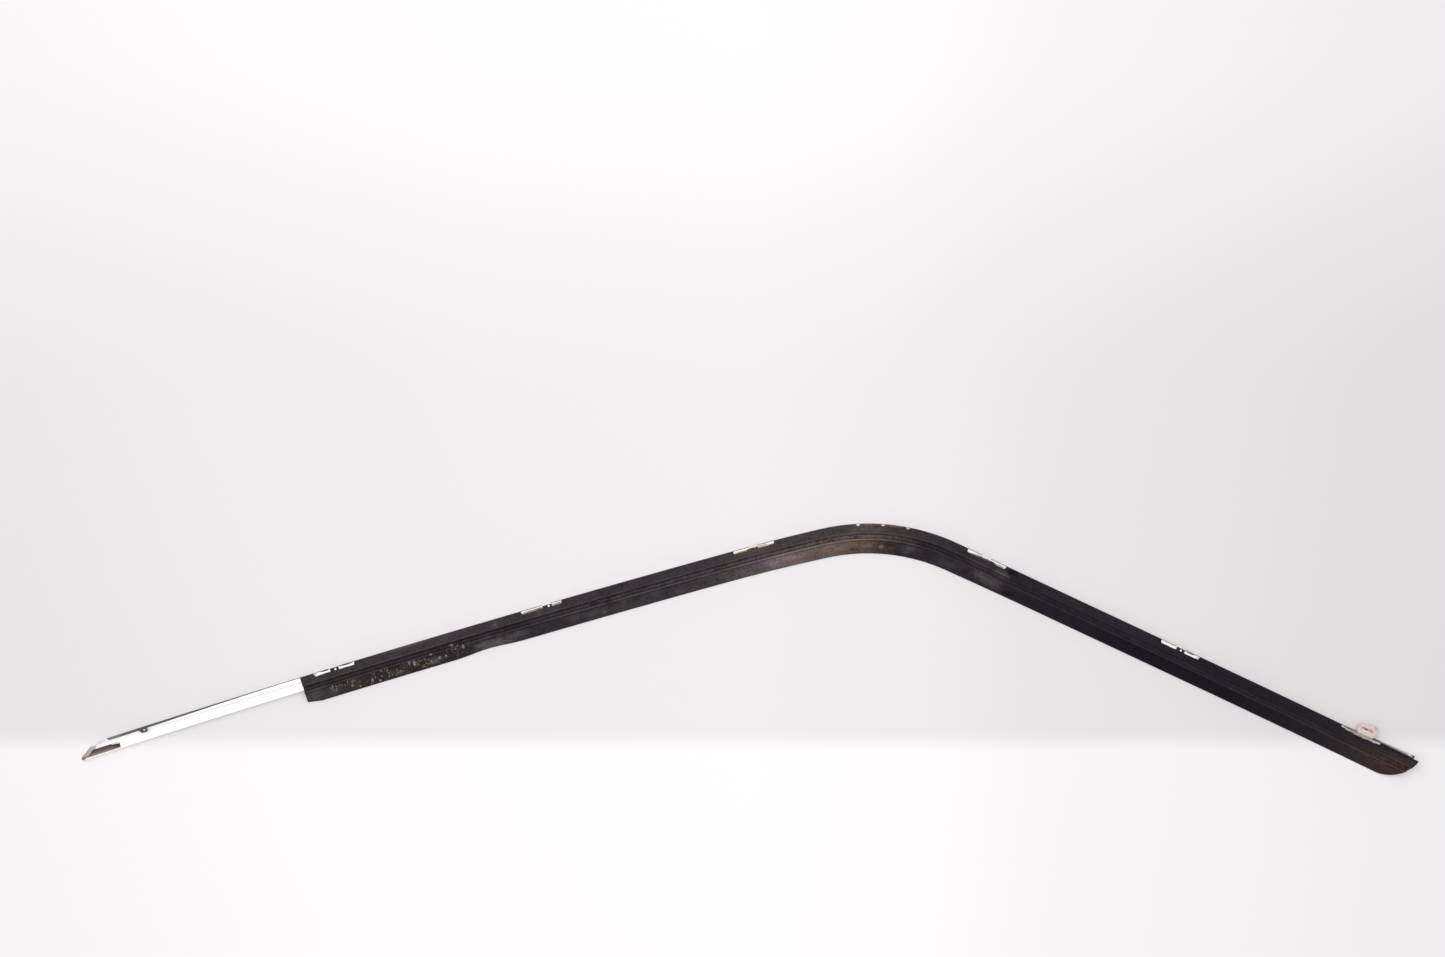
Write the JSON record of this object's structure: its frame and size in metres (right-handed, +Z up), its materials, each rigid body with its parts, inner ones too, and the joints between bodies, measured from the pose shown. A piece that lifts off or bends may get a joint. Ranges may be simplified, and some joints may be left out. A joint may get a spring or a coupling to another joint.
{
  "type": "roof moulding",
  "caption": "Long bent vehicle roof moulding seen from behind: bright rolled strip with a black backing profile, eyelet clips and a nylon clip.",
  "frame": {"origin": "on the floor under the middle of the overall box, the moulding lying on its bright face", "axes": "+X along the length from the bare tip to the rounded foot, +Y in plan from the foot towards the bend, +Z up, towards the side that faces the body"},
  "size_m": [1.9134, 0.3602, 0.0119],
  "materials": {
    "bright_metal": "bright rolled sheet, satin inside",
    "black_rubber": "aged, dusty matt black",
    "clip_steel": "rust brown",
    "natural_nylon": "cloudy, yellowed"
  },
  "bodies": {
    "root": {"trim_strip": "bright_metal", "backing_profile": "black_rubber", "nylon_clip": "natural_nylon", "clip_1": "clip_steel", "clip_2": "clip_steel", "clip_3": "clip_steel", "clip_4": "clip_steel", "clip_5": "clip_steel", "clip_6": "clip_steel"}
  },
  "joints": []
}
